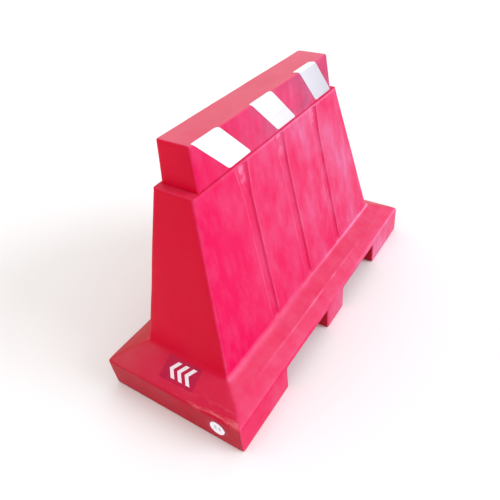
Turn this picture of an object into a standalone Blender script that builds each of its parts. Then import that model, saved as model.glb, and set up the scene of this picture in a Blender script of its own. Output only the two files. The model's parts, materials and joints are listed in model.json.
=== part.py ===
"""Water filled road barrier, one metre long: a hollow moulded tank with its two screwed closures,
its reflective sheets and a label.

Frame: metres, +Z up, origin on the ground under the middle of the base, X along the barrier,
-Y the front. The drain is in the -X end of the base, the filling hole in the +X end of the top rail.
"""
import math

import bmesh
import bpy

# Driving dimensions of the tank
LENGTH = 1.000
WIDTH = 0.445
HEIGHT = 0.720
WALL = 0.005
GAP = 0.0003  # kept between pieces that touch

# Outside of the tank, from the ground up: height, half length, half width, plan corner radius
# and the length over which the edge at that height is rounded
DRAFT = 0.003
CREASE_HEIGHT = 0.095
SHOULDER_HEIGHT = 0.608
CAP_INSET = 0.040  # from the edge of the flat underside to its innermost ring
TANK_OUTLINE = [
    (0.000, LENGTH / 2 - DRAFT - CAP_INSET, WIDTH / 2 - DRAFT - CAP_INSET, 0.005, 0.0),
    (0.000, LENGTH / 2 - DRAFT, WIDTH / 2 - DRAFT, 0.006, 0.004),
    (CREASE_HEIGHT, LENGTH / 2, WIDTH / 2, 0.006, 0.004),
    (0.115, 0.4623, 0.1865, 0.008, 0.006),
    (0.138, 0.419, 0.134, 0.008, 0.007),
    (SHOULDER_HEIGHT, 0.342, 0.060, 0.007, 0.003),
    (SHOULDER_HEIGHT, 0.317, 0.056, 0.007, 0.0025),
    (HEIGHT, 0.311, 0.049, 0.006, 0.0035),
    (HEIGHT, 0.290, 0.028, 0.004, 0.0),
]
BODY_FOOT = TANK_OUTLINE[4]
BODY_TOP = TANK_OUTLINE[5]
RAIL_FOOT = TANK_OUTLINE[6]
RAIL_TOP = TANK_OUTLINE[7]
ROUNDING_STEPS = 3
CORNER_STEPS = 4

# Fork slots under the base
MIDDLE_FOOT_HALF = 0.053
END_FOOT_INSIDE = 0.283
SLOT_HEIGHT = 0.079
SLOT_CORNER = 0.008

# Upright grooves in the front and back of the body: each one's place along X at its foot and head
GROOVES = ((-0.189, -0.164), (0.000, 0.006), (0.188, 0.184))
GROOVE_WIDTH = 0.029
GROOVE_DEPTH = 0.005
GROOVE_BOTTOM = 0.152
GROOVE_TOP = 0.598
GROOVE_RUN_OUT = 0.018

# Screwed closures, in a frame whose +Z points out of the tank and whose origin is on the seat
PITCH = 0.006
THREAD_DEPTH = 0.0018
THREAD_CLEARANCE = 0.0005
THREAD_ROOT_WIDTH = 0.0026
THREAD_CREST_WIDTH = 0.0012
THREAD_STEPS = 36
SHANK_LENGTH = 0.0161
INSERT_LENGTH = 0.019
INSERT_WALL = 0.0038
INSERT_RING_DEPTH = 0.0065
INSERT_RING_LENGTH = 0.005
INSERT_RING_PROUD = 0.003
BOSS_WALL = 0.006
BOSS_LENGTH = 0.026
GASKET_THICKNESS = 0.0015
GASKET_INSET = 0.001  # from the flange's edge
EDGE_ROUNDING = 0.0009
EDGE_MIDDLE = 0.6  # of the rounding, where the flange's round edge is nearest its sharp corner
UNDER_FLANGE = 2 * GAP + GASKET_THICKNESS
SHANK_TIP = UNDER_FLANGE - SHANK_LENGTH
PLUG_TURNS = 1.75
INSERT_TURNS = 2.0
PLUG_THREAD_START = SHANK_TIP + THREAD_ROOT_WIDTH / 2 + EDGE_ROUNDING
INSERT_THREAD_START = PLUG_THREAD_START - PITCH / 2
RIDGE_END = 0.2  # height of a thread ridge where it ends, as a share of its full height
POCKET_CLEARANCE = 0.002
POCKET_REACH = 0.030  # from the seat to clear of the tank's face
BORE_OVERRUN = 0.010  # past the inner end of the boss
ROUND_STEPS = 36

DRAIN = {
    "seat": (-0.494, -0.147, 0.053),
    "outward": -1,
    "boss_top": 0.0020,  # within the wall, which the seat lies in or behind
    "crest_radius": 0.0176,
    "flange_radius": 0.0225,
    "flange_thickness": 0.0035,
    "cup_radius": 0.0115,
    "cup_depth": 0.010,
    "grip_width": 0.006,
}
FILL = {
    "seat": (0.307, 0.0, 0.664),
    "outward": 1,
    "boss_top": 0.0045,
    "crest_radius": 0.0230,
    "flange_radius": 0.0315,
    "flange_thickness": 0.0048,
    "cup_radius": 0.0165,
    "cup_depth": 0.012,
    "grip_width": 0.008,
}

# Reflective sheets on the rail: middle, lean from top to bottom, and how far the sheet laps
# over the rail's top
SHEET_WIDTH = 0.090
SHEET_THICKNESS = 0.0006
SHEETS = ((-0.207, 0.098, 0.002), (0.009, 0.096, 0.002), (0.227, 0.074, 0.012))
SHEET_START = 0.0005  # above the rounding at the rail's foot

LABEL_WIDTH = 0.110
LABEL_MIDDLE = -0.004  # along Y
LABEL_SPAN = (0.425, 0.477)  # reach along X, on the sloping end of the base
LABEL_THICKNESS = 0.0004

RED_PLASTIC = ("red_polyethylene", (0.62, 0.012, 0.045), 0.42)
WHITE_PLASTIC = ("white_polypropylene", (0.83, 0.83, 0.82), 0.38)
BLACK_PLASTIC = ("black_polypropylene", (0.03, 0.03, 0.032), 0.50)
BLACK_RUBBER = ("black_rubber", (0.02, 0.02, 0.02), 0.75)
REFLECTIVE_WHITE = ("reflective_sheeting", (0.88, 0.89, 0.90), 0.25)
LABEL_PRINT = ("printed_vinyl", (0.20, 0.012, 0.060), 0.35)


def clear_scene():
    for scene_object in list(bpy.data.objects):
        bpy.data.objects.remove(scene_object, do_unlink=True)


def new_collection(name):
    collection = bpy.data.collections.new(name)
    bpy.context.scene.collection.children.link(collection)
    return collection


def plastic(finish):
    """The material of a finish: name, colour and roughness."""
    name, colour, roughness = finish
    material = bpy.data.materials.get(name)
    if material is None:
        material = bpy.data.materials.new(name)
        material.use_nodes = True
        shader = material.node_tree.nodes["Principled BSDF"]
        shader.inputs["Base Color"].default_value = (*colour, 1.0)
        shader.inputs["Roughness"].default_value = roughness
        shader.inputs["Metallic"].default_value = 0.0
    return material


def add_object(name, mesh, collection, finish=None, parent=None):
    new_object = bpy.data.objects.new(name, mesh)
    collection.objects.link(new_object)
    new_object.parent = parent
    if finish is not None:
        mesh.materials.append(plastic(finish))
    return new_object


def make_cutter(cutter):
    """Keeps a shape that cuts or joins another out of the finished model."""
    cutter.hide_render = True
    cutter.display_type = "WIRE"
    return cutter


def add_boolean(target, tool, operation):
    boolean = target.modifiers.new(tool.name, "BOOLEAN")
    boolean.object = tool
    boolean.operation = operation
    boolean.solver = "EXACT"


def weld_seams(target):
    """Closes the hairline seams that a row of cuts can leave."""
    weld = target.modifiers.new("Weld", "WELD")
    weld.merge_threshold = 0.00002


def shade_round(mesh, angle_deg=35):
    mesh.shade_smooth()
    mesh.set_sharp_from_angle(angle=math.radians(angle_deg))


def mix(a, b, t):
    """The value or row of values at fraction t of the way from a to b."""
    return tuple(p + (q - p) * t for p, q in zip(a, b))


def rounded(outline):
    """An outline whose inner points are replaced with short curves. The last value of each
    point is the length of outline that its curve takes on either side."""
    points = [outline[0][:-1]]
    for before, point, after in zip(outline, outline[1:], outline[2:]):
        blend = point[-1]
        start, middle, end = before[:-1], point[:-1], after[:-1]
        enter = mix(middle, start, blend / math.dist(middle[:3], start[:3]))
        leave = mix(middle, end, blend / math.dist(middle[:3], end[:3]))
        for step in range(ROUNDING_STEPS + 1):
            t = step / ROUNDING_STEPS
            points.append(mix(mix(enter, middle, t), mix(middle, leave, t), t))
    points.append(outline[-1][:-1])
    return points


def plan_ring(half_length, half_width, radius):
    """Points around a rectangle with round corners, anticlockwise from above."""
    ring = []
    for quarter in range(4):
        sign_x = 1 if quarter in (0, 3) else -1
        sign_y = 1 if quarter in (0, 1) else -1
        for step in range(CORNER_STEPS + 1):
            angle = (quarter + step / CORNER_STEPS) * math.pi / 2
            x = sign_x * (half_length - radius) + radius * math.cos(angle)
            y = sign_y * (half_width - radius) + radius * math.sin(angle)
            ring.append((x, y))
    return ring


def skin_rings(name, rings):
    """A closed mesh over a stack of rings that have the same number of points."""
    bm = bmesh.new()
    rows = [[bm.verts.new(point) for point in ring] for ring in rings]
    count = len(rows[0])
    for low, high in zip(rows, rows[1:]):
        for i in range(count):
            j = (i + 1) % count
            bm.faces.new((low[i], low[j], high[j], high[i]))
    bm.faces.new(list(reversed(rows[0])))
    bm.faces.new(rows[-1])
    mesh = bpy.data.meshes.new(name)
    bm.to_mesh(mesh)
    bm.free()
    return mesh


def tank_skin():
    """The outside of the tank before its slots and grooves: a stack of unlike rectangles."""
    rings = []
    for height, half_length, half_width, radius in rounded(TANK_OUTLINE):
        ring = plan_ring(half_length, half_width, radius)
        rings.append([(x, y, height) for x, y in ring])
    return skin_rings("barrier_shell", rings)


def turned(name, profile, collection, finish=None, parent=None):
    """A turned shape around local Z from a profile of radius and height, listed down its outer
    side. A profile that starts and ends off the axis is closed into a ring."""
    mesh = bpy.data.meshes.new(name)
    points = [(radius, 0.0, height) for radius, height in profile]
    edges = [(i, i + 1) for i in range(len(points) - 1)]
    if profile[0][0] > 0.0 and profile[-1][0] > 0.0:
        edges.append((len(points) - 1, 0))
    mesh.from_pydata(points, edges, [])
    shape = add_object(name, mesh, collection, finish, parent)
    screw = shape.modifiers.new("Turn", "SCREW")
    screw.axis = "Z"
    screw.angle = 2 * math.pi
    screw.steps = ROUND_STEPS
    screw.render_steps = ROUND_STEPS
    screw.use_merge_vertices = True
    screw.merge_threshold = 0.00001
    screw.use_smooth_shade = True
    return shape


def block(name, size, location, collection, parent=None, rounding=0.0):
    """A box of the given size about its location, with its edges rounded if asked."""
    bm = bmesh.new()
    bmesh.ops.create_cube(bm, size=1.0)
    bmesh.ops.scale(bm, vec=size, verts=bm.verts)
    mesh = bpy.data.meshes.new(name)
    bm.to_mesh(mesh)
    bm.free()
    shape = add_object(name, mesh, collection, parent=parent)
    shape.location = location
    if rounding > 0.0:
        bevel = shape.modifiers.new("Round", "BEVEL")
        bevel.width = rounding
        bevel.segments = 3
    return shape


def fork_slots(cutters):
    """Cutters for the two ways under the base, which leave an end foot, a middle foot and an
    end foot."""
    span = END_FOOT_INSIDE - MIDDLE_FOOT_HALF
    reach = 0.050  # past the base's faces and below the ground
    slots = []
    for side, name in ((-1, "fork_slot_left"), (1, "fork_slot_right")):
        size = (span, WIDTH + 2 * reach, SLOT_HEIGHT + reach)
        middle = side * (MIDDLE_FOOT_HALF + span / 2)
        place = (middle, 0.0, (SLOT_HEIGHT - reach) / 2)
        slots.append(make_cutter(block(name, size, place, cutters, rounding=SLOT_CORNER)))
    return slots


def groove_cutters(cutters):
    """Round bars that lean with the body's faces and cut a shallow trough in them."""
    radius = (GROOVE_WIDTH**2 / 4 + GROOVE_DEPTH**2) / (2 * GROOVE_DEPTH)
    rise = BODY_TOP[0] - BODY_FOOT[0]
    lean = math.atan2(BODY_FOOT[2] - BODY_TOP[2], rise)
    length = (GROOVE_TOP - GROOVE_BOTTOM) / math.cos(lean)
    end_radius = radius - GROOVE_DEPTH - GAP
    profile = [
        (0.0, length),
        (end_radius, length),
        (radius, length - GROOVE_RUN_OUT),
        (radius, GROOVE_RUN_OUT),
        (end_radius, 0.0),
        (0.0, 0.0),
    ]
    half_width = mix(BODY_FOOT, BODY_TOP, (GROOVE_BOTTOM - BODY_FOOT[0]) / rise)[2]
    offset = radius - GROOVE_DEPTH
    bars = []
    for side, face in ((-1, "front"), (1, "back")):
        for number, (foot, head) in enumerate(GROOVES, start=1):
            bar = turned(f"{face}_groove_{number}", profile, cutters)
            y = side * (half_width + offset * math.cos(lean))
            bar.location = (foot, y, GROOVE_BOTTOM + offset * math.sin(lean))
            sideways = math.atan2(head - foot, GROOVE_TOP - GROOVE_BOTTOM)
            bar.rotation_euler = (side * lean, sideways, 0.0)
            bars.append(make_cutter(bar))
    return bars


def thread_ridge(name, root, crest, bottom, turns, collection, parent):
    """A right-hand helical ridge of the closures' pitch. It fades into its root at both ends,
    and its foot is sunk a little into the wall that it is joined to."""
    steps = round(turns * THREAD_STEPS)
    fade = THREAD_STEPS / 4
    sunk = root - math.copysign(THREAD_CLEARANCE, crest - root)
    half_root = THREAD_ROOT_WIDTH / 2
    half_tip = THREAD_CREST_WIDTH / 2
    rings = []
    for step in range(steps + 1):
        height = min(1.0, step / fade, (steps - step) / fade)
        tip = sunk + (crest - sunk) * max(height, RIDGE_END)
        angle = 2 * math.pi * step / THREAD_STEPS
        middle = bottom + PITCH * step / THREAD_STEPS
        section = [
            (sunk, middle - half_root),
            (tip, middle - half_tip),
            (tip, middle + half_tip),
            (sunk, middle + half_root),
        ]
        if crest > root:
            section.reverse()
        rings.append([(r * math.cos(angle), r * math.sin(angle), z) for r, z in section])
    return make_cutter(add_object(name, skin_rings(name, rings), collection, parent=parent))


def closure_axis(name, closure, collection):
    """An empty on the closure's axis whose +Z points out of the tank."""
    axis = bpy.data.objects.new(name, None)
    collection.objects.link(axis)
    axis.location = closure["seat"]
    axis.rotation_euler = (0.0, closure["outward"] * math.pi / 2, 0.0)
    axis.empty_display_size = 0.05
    return axis


def closure_radii(closure):
    """Radii from the plug outwards: plug root, plug crest, insert crest, insert root, insert
    outside, insert ring and boss."""
    crest = closure["crest_radius"]
    root = crest - THREAD_DEPTH
    insert_crest = root + THREAD_CLEARANCE
    insert_root = crest + THREAD_CLEARANCE
    outside = insert_root + INSERT_WALL
    ring = outside + INSERT_RING_PROUD
    return root, crest, insert_crest, insert_root, outside, ring, ring + BOSS_WALL


def cut_port(shell, name, closure, axis, cutters):
    """Adds the thick boss of a closure inside the tank, then cuts its seat and its bore."""
    insert_root, outside, ring, boss_radius = closure_radii(closure)[3:]
    boss_top = closure["boss_top"]
    boss_profile = [
        (0.0, boss_top),
        (boss_radius, boss_top),
        (boss_radius, -BOSS_LENGTH),
        (0.0, -BOSS_LENGTH),
    ]
    boss = make_cutter(turned(f"{name}_boss", boss_profile, cutters, parent=axis))
    pocket_radius = closure["flange_radius"] + POCKET_CLEARANCE
    ring_top = -INSERT_RING_DEPTH + GAP
    ring_bottom = -INSERT_RING_DEPTH - INSERT_RING_LENGTH - GAP
    bore_profile = [
        (0.0, POCKET_REACH),
        (pocket_radius, POCKET_REACH),
        (pocket_radius, 0.0),
        (outside + GAP, 0.0),
        (outside + GAP, ring_top),
        (ring + GAP, ring_top),
        (ring + GAP, ring_bottom),
        (outside + GAP, ring_bottom),
        (outside + GAP, -INSERT_LENGTH - GAP),
        (insert_root, -INSERT_LENGTH - GAP),
        (insert_root, -BOSS_LENGTH - BORE_OVERRUN),
        (0.0, -BOSS_LENGTH - BORE_OVERRUN),
    ]
    bore = make_cutter(turned(f"{name}_bore", bore_profile, cutters, parent=axis))
    add_boolean(shell, boss, "UNION")
    add_boolean(shell, bore, "DIFFERENCE")


def make_insert(name, closure, axis, parts, cutters):
    """The threaded ring that is moulded into the boss and held by its collar."""
    insert_crest, insert_root, outside, ring = closure_radii(closure)[2:6]
    profile = [
        (insert_root, -GAP),
        (outside, -GAP),
        (outside, -INSERT_RING_DEPTH),
        (ring, -INSERT_RING_DEPTH),
        (ring, -INSERT_RING_DEPTH - INSERT_RING_LENGTH),
        (outside, -INSERT_RING_DEPTH - INSERT_RING_LENGTH),
        (outside, -INSERT_LENGTH),
        (insert_root, -INSERT_LENGTH),
    ]
    insert = turned(name, profile, parts, BLACK_PLASTIC, axis)
    thread = (insert_root, insert_crest, INSERT_THREAD_START, INSERT_TURNS)
    ridge = thread_ridge(f"{name}_ridge", *thread, cutters, axis)
    add_boolean(insert, ridge, "UNION")


def make_gasket(name, closure, axis, parts):
    crest = closure["crest_radius"]
    inner = crest + 2 * THREAD_CLEARANCE
    outer = closure["flange_radius"] - GASKET_INSET
    profile = [
        (inner, GAP + GASKET_THICKNESS),
        (outer, GAP + GASKET_THICKNESS),
        (outer, GAP),
        (inner, GAP),
    ]
    turned(name, profile, parts, BLACK_RUBBER, axis)


def make_plug(name, closure, axis, parts, cutters):
    """A flanged plug with a threaded shank, hollowed to a cup that a grip bar crosses."""
    root, crest = closure_radii(closure)[:2]
    face = UNDER_FLANGE + closure["flange_thickness"]
    flange = closure["flange_radius"]
    cup = closure["cup_radius"]
    cup_floor = face - closure["cup_depth"]
    edge = EDGE_ROUNDING
    profile = [
        (0.0, cup_floor),
        (cup, cup_floor),
        (cup, face - edge),
        (cup + edge, face),
        (flange - 2 * edge, face),
        (flange - EDGE_MIDDLE * edge, face - EDGE_MIDDLE * edge),
        (flange, face - 2 * edge),
        (flange, UNDER_FLANGE),
        (root, UNDER_FLANGE),
        (root, SHANK_TIP + edge),
        (root - edge, SHANK_TIP),
        (0.0, SHANK_TIP),
    ]
    plug = turned(name, profile, parts, WHITE_PLASTIC, axis)
    thread = (root, crest, PLUG_THREAD_START, PLUG_TURNS)
    ridge = thread_ridge(f"{name}_ridge", *thread, cutters, axis)
    add_boolean(plug, ridge, "UNION")
    bar_bottom = cup_floor - edge
    bar_top = face - edge
    bar_size = (2 * cup + 2 * edge, closure["grip_width"], bar_top - bar_bottom)
    bar_place = (0.0, 0.0, (bar_bottom + bar_top) / 2)
    bar = block(f"{name}_grip", bar_size, bar_place, cutters, axis)
    add_boolean(plug, make_cutter(bar), "UNION")
    weld_seams(plug)


def add_closure(shell, name, closure, parts, cutters):
    """One complete closure: the shell's port, the insert, and the gasket and plug that come
    out of it along their axis."""
    axis = closure_axis(f"{name}_axis", closure, parts)
    cut_port(shell, name, closure, axis, cutters)
    make_insert(f"{name}_insert", closure, axis, parts, cutters)
    make_gasket(f"{name}_gasket", closure, axis, parts)
    make_plug(f"{name}_plug", closure, axis, parts, cutters)


def offset_path(path, distance):
    """A path of distance and height, moved to its left-hand side as it is followed."""
    moved = []
    for i, point in enumerate(path):
        before = path[max(i - 1, 0)]
        after = path[min(i + 1, len(path) - 1)]
        dx = after[0] - before[0]
        dz = after[1] - before[1]
        length = math.hypot(dx, dz)
        moved.append((point[0] + dz / length * distance, point[1] - dx / length * distance))
    return moved


def sheet(name, rows, thickness, parts, finish, rotation):
    """A thin sheet over rows of points, thickened away from the surface it lies on."""
    bm = bmesh.new()
    lines = [[bm.verts.new(point) for point in row] for row in rows]
    for low, high in zip(lines, lines[1:]):
        bm.faces.new((low[0], low[1], high[1], high[0]))
    mesh = bpy.data.meshes.new(name)
    bm.to_mesh(mesh)
    bm.free()
    shape = add_object(name, mesh, parts, finish)
    shape.rotation_euler = (0.0, 0.0, rotation)
    solidify = shape.modifiers.new("Thickness", "SOLIDIFY")
    solidify.thickness = thickness
    solidify.offset = 1.0
    solidify.use_even_offset = True
    return shape


def rail_path(lap):
    """Up the rail's face from just above its foot to its top edge, as distance from the middle
    and height. With a lap it goes on round the edge and that far over the top."""
    top_edge = [(width, height) for height, _, width, _ in rounded(TANK_OUTLINE)
                if height > HEIGHT - 2 * RAIL_TOP[-1]][:-1]
    foot = (RAIL_FOOT[2], RAIL_FOOT[0])
    rise = RAIL_TOP[0] - RAIL_FOOT[0]
    start = mix(foot, (RAIL_TOP[2], RAIL_TOP[0]), (RAIL_FOOT[-1] + SHEET_START) / rise)
    if lap == 0.0:
        return offset_path([start, top_edge[0]], GAP)
    lapped = (top_edge[-1][0] - lap, HEIGHT)
    return offset_path([start, *top_edge, lapped], GAP)


def reflective_sheets(parts):
    """Three leaning sheets on the front of the rail, lapped over its top, and three on its back
    that end below its top edge."""
    for face, rotation in (("front", 0.0), ("rear", math.pi)):
        for number, (middle, lean, front_lap) in enumerate(SHEETS, start=1):
            lap = front_lap if face == "front" else 0.0
            path = rail_path(lap)
            total = sum(math.dist(a, b) for a, b in zip(path, path[1:])) - lap
            travelled = 0.0
            rows = []
            for i, (out, height) in enumerate(path):
                if i > 0:
                    travelled += math.dist(path[i - 1], path[i])
                x = middle + lean * (0.5 - travelled / total)
                left = (x - SHEET_WIDTH / 2, -out, height)
                right = (x + SHEET_WIDTH / 2, -out, height)
                rows.append((left, right))
            name = f"{face}_reflector_{number}"
            sheet(name, rows, SHEET_THICKNESS, parts, REFLECTIVE_WHITE, rotation)


def end_label(parts):
    """A printed label on the sloping end of the base, above the drain."""
    crease = (LENGTH / 2, CREASE_HEIGHT)
    foot = (BODY_FOOT[1], BODY_FOOT[0])
    path = []
    for reach in reversed(LABEL_SPAN):
        path.append(mix(crease, foot, (crease[0] - reach) / (crease[0] - foot[0])))
    rows = []
    left = LABEL_MIDDLE + LABEL_WIDTH / 2
    right = LABEL_MIDDLE - LABEL_WIDTH / 2
    for out, height in offset_path(path, GAP):
        rows.append(((-out, left, height), (-out, right, height)))
    sheet("end_label", rows, LABEL_THICKNESS, parts, LABEL_PRINT, 0.0)


def main():
    clear_scene()
    parts = new_collection("water_filled_barrier")
    cutters = new_collection("cutters")
    shell = add_object("barrier_shell", tank_skin(), parts, RED_PLASTIC)
    shade_round(shell.data)
    for tool in fork_slots(cutters) + groove_cutters(cutters):
        add_boolean(shell, tool, "DIFFERENCE")
    wall = shell.modifiers.new("Wall", "SOLIDIFY")
    wall.thickness = WALL
    wall.offset = -1.0
    wall.use_even_offset = True
    add_closure(shell, "drain", DRAIN, parts, cutters)
    add_closure(shell, "fill", FILL, parts, cutters)
    weld_seams(shell)
    reflective_sheets(parts)
    end_label(parts)
    bpy.context.view_layer.update()


main()
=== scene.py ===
"""The looks of the water filled barrier: its moulded tank, screwed closures, sheets and label."""
import json
import math

import bmesh
import bpy
from mathutils import Matrix, Vector, noise
from mathutils.bvhtree import BVHTree


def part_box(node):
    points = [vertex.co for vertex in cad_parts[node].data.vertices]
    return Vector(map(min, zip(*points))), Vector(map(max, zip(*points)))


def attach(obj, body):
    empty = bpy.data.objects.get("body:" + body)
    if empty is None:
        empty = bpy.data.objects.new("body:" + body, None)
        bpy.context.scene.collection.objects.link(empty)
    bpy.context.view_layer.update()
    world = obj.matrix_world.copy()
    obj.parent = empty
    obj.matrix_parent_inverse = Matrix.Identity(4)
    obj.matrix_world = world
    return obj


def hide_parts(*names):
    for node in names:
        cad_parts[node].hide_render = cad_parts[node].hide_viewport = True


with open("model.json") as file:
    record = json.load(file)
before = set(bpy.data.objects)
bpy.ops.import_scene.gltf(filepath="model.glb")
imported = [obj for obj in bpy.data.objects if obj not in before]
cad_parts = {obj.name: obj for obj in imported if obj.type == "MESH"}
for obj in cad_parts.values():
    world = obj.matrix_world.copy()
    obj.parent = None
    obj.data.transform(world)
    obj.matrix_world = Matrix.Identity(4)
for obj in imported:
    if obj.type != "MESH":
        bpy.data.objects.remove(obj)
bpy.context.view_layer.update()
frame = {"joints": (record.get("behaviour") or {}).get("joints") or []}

# The tank's outside from the ground up: height, half length and half width, in metres
TANK_LOW, TANK_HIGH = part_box("barrier_shell")
HALF_LENGTH, HALF_WIDTH, HEIGHT = TANK_HIGH
DRAFT = 0.003
SLOT_HEIGHT = 0.079
SHOULDER = 0.608
BODY_FOOT = (0.138, 0.419, 0.134)
BODY_TOP = (SHOULDER, 0.342, 0.060)


def on_body(z):
    """The body's half length and half width at a height, with the height before them."""
    t = (z - BODY_FOOT[0]) / (BODY_TOP[0] - BODY_FOOT[0])
    return tuple(low + (high - low) * t for low, high in zip(BODY_FOOT, BODY_TOP))


OUTLINE = {
    "ground": (0.000, HALF_LENGTH - DRAFT, HALF_WIDTH - DRAFT),
    "slot": (SLOT_HEIGHT, HALF_LENGTH - 0.0005, HALF_WIDTH - 0.0005),
    "crease": (0.095, HALF_LENGTH, HALF_WIDTH),
    "break": (0.115, 0.4623, 0.1865),
    "foot": BODY_FOOT,
    "groove_foot": on_body(BODY_FOOT[0] + 0.014),
    "groove_head": on_body(SHOULDER - 0.009),
    "shoulder": BODY_TOP,
    "gutter": (SHOULDER - 0.0020, 0.3168, 0.0556),
    "rail_foot": (SHOULDER, 0.317, 0.056),
    "top": (HEIGHT, 0.311, 0.049),
}
# How far the inside surface lies from the outside one, down and inwards
INSIDE = {
    "ground": (-0.005, 0.0050),
    "slot": (-0.005, 0.0050),
    "crease": (0.003, 0.0050),
    "break": (0.0055, 0.0035),
    "foot": (0.0035, 0.0042),
    "groove_foot": (0.0035, 0.0045),
    "groove_head": (0.0050, 0.0055),
    "shoulder": (0.007, 0.0056),
    "gutter": (0.005, 0.0056),
    "rail_foot": (0.005, 0.0050),
    "top": (0.005, 0.0050),
}
# Cells between one height of the outline and the next
CELLS_UP = {"ground": 3, "slot": 1, "crease": 2, "break": 2, "foot": 1, "groove_foot": 14,
            "groove_head": 1, "shoulder": 1, "gutter": 1, "rail_foot": 5}
MIDDLE_FOOT = 0.053
END_FOOT = 0.283
WALL = 0.005
# Upright lines of the tank's cage: shares of the way from an end foot's inner side to the tank's
# end, places between the grooves, and places across the tank as shares of its half width
END_SHARES = (1.0, 0.55, 0.25)
PANEL_LINES = (0.238, 0.096)
ACROSS = (-1.0, -0.68, -0.34, 0.0, 0.34, 0.68, 1.0)

GROOVES = ((-0.189, -0.164), (0.000, 0.006), (0.188, 0.184))  # places along X at foot and head
GROOVE_DEPTH = 0.0060
# Across a groove: places as shares of its half width, and depths as shares of its depth, with a
# slight lip on both sides
GROOVE_LINES = ((-1.30, 0.0), (-1.02, -0.10), (-0.88, 0.12), (-0.66, 0.90), (0.0, 0.96), (0.66, 0.90),
                (0.88, 0.12), (1.02, -0.10), (1.30, 0.0))
GROOVE_HALF_WIDTH = 0.0155
GROOVE_FLARE = 0.55  # how much wider a groove is just under the rail

# Roundings of the tank's edges: level ones that run along X and along Y at each named height,
# and upright ones beside the fork slots and at the corners of the feet, body and rail
LEVEL_ROUNDING = {
    "ground": (0.004, 0.004),
    "slot": (0.004, 0.008),
    "crease": (0.0045, 0.0045),
    "break": (0.006, 0.006),
    "foot": (0.009, 0.009),
    "shoulder": (0.0016, 0.004),
    "gutter": (0.0008, 0.0008),
    "rail_foot": (0.0010, 0.0010),
    "top": (0.0045, 0.0045),
}
SLOT_ROUNDING = 0.005
FOOT_ROUNDING = 0.0055
BODY_ROUNDING = 0.008
RAIL_ROUNDING = 0.007
WIDEST_ROUNDING = 0.010  # the bevels' width, which edge weights are shares of
ROUNDED_FROM = math.radians(3.5)  # the least fold that is rounded
# How far the moulded walls stand off their drawn places
SLOW_WAVE = 0.0013
FINE_WAVE = 0.00022
PANEL_BOW = 0.0014
PANEL_PITCH = 0.19
FLAT_FEET = 0.004  # the height up to which the walls keep their drawn places

# Screwed closures, whose places come from their joints
PITCH = 0.006
GAP = 0.0003
GASKET_THICKNESS = 0.0015
UNDER_FLANGE = 2 * GAP + GASKET_THICKNESS
SHANK_TIP = UNDER_FLANGE - 0.0161
SHANK_ROUNDING = 0.0009
THREAD_DEPTH = 0.0018
THREAD_CLEARANCE = 0.0005
THREAD_ROOT = 0.0026
THREAD_CREST = 0.0012
THREAD_FADE = 0.2  # of a turn, at each end of a ridge
PLUG_THREAD_START = SHANK_TIP + THREAD_ROOT / 2 + SHANK_ROUNDING
PLUG_TURNS = 1.75
INSERT_TURNS = 2.0
INSERT_LENGTH = 0.019
INSERT_COLLAR = (0.0065, 0.005, 0.003)  # depth, length and how far it stands out
INSERT_WALL = 0.0038
BOSS_LENGTH = 0.026
BOSS_WALL = 0.006
POCKET_CLEARANCE = 0.002
POCKET_REACH = 0.030  # out from the seat to clear of the tank's face
BORE_OVERRUN = 0.010  # past the inner end of the boss
CUP_RIM = 0.0035  # width of the sunken ring round a plug's cup, and its depth
RIM_DEPTH = 0.0007
GRIP_SUNK = 0.0009  # how far the grip bar's top is below the face, and its foot in the cup's floor
GRIP_ROUNDING = 0.0012
ROUND_STEPS = 96
ON_AXIS = 0.00001  # the radius that stands for a point on a turned shape's axis
CLOSURES = {
    "drain": {"crest": 0.0176, "flange": 0.0225, "face": 0.0035, "cup": 0.0115, "depth": 0.010,
              "grip": 0.006, "boss_top": 0.0020},
    "fill": {"crest": 0.0230, "flange": 0.0315, "face": 0.0048, "cup": 0.0165, "depth": 0.012,
             "grip": 0.008, "boss_top": 0.0045},
}

FOUND_WITHIN = (0.02, 0.03)  # how far out of and into the tank a sheet looks for its surface
SHEET_THICKNESS = 0.0006
SHEET_LIFT = 0.00015
BUBBLE_HEIGHT = 0.0001
SHEET_WIDTH = 0.090
# Each sheet's middle along X, how much further along X its foot is than its top, and how far it
# laps over the rail's top on the front
SHEETS = ((-0.207, 0.098, 0.002), (0.009, 0.096, 0.002), (0.227, 0.074, 0.012))
SHEET_START = 0.0035  # above the rail's foot
SHEET_CORNERS = (0.070, 0.055)  # radii as shares of the width and the height
RAIL_LEAN = 0.06  # how much the rail's face looks up, for its forward reach of 1
LABEL_THICKNESS = 0.0004
LABEL_WIDTH = 0.110
LABEL_MIDDLE = -0.004
LABEL_REACH = (0.425, 0.477)
LABEL_CORNERS = (0.03, 0.06)
INTO_END_SLOPE = Vector((0.47, 0.0, -0.883))
CHEVRONS = 3
CHEVRON_PITCH = 0.025
CHEVRON_START = -0.026
CHEVRON_STROKE = 0.0125
CHEVRON_HALF_HEIGHT = 0.0185
CHEVRON_SLANT = 0.9

# The camera, in degrees and metres
CAMERA_AZIMUTH = -57.35
CAMERA_ELEVATION = 33.25
CAMERA_ROLL = -4.13
CAMERA_DISTANCE = 1.540
CAMERA_AIM = Vector((0.0854, -0.0513, 0.380))
CAMERA_LENS = 37.18
CAMERA_SHIFT = (-0.0918, -0.1224)

# The soft key light
KEY_AZIMUTH = 18.0
KEY_ELEVATION = 25.0
KEY_SPREAD = 35.0
KEY_POWER = 1.9
KEY_COLOUR = (0.97, 0.97, 1.10)


# ---- shapes

def mesh_object(name, bm):
    mesh = bpy.data.meshes.new(name)
    bm.normal_update()
    bm.to_mesh(mesh)
    bm.free()
    shape = bpy.data.objects.new(name, mesh)
    bpy.context.scene.collection.objects.link(shape)
    return shape


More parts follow.
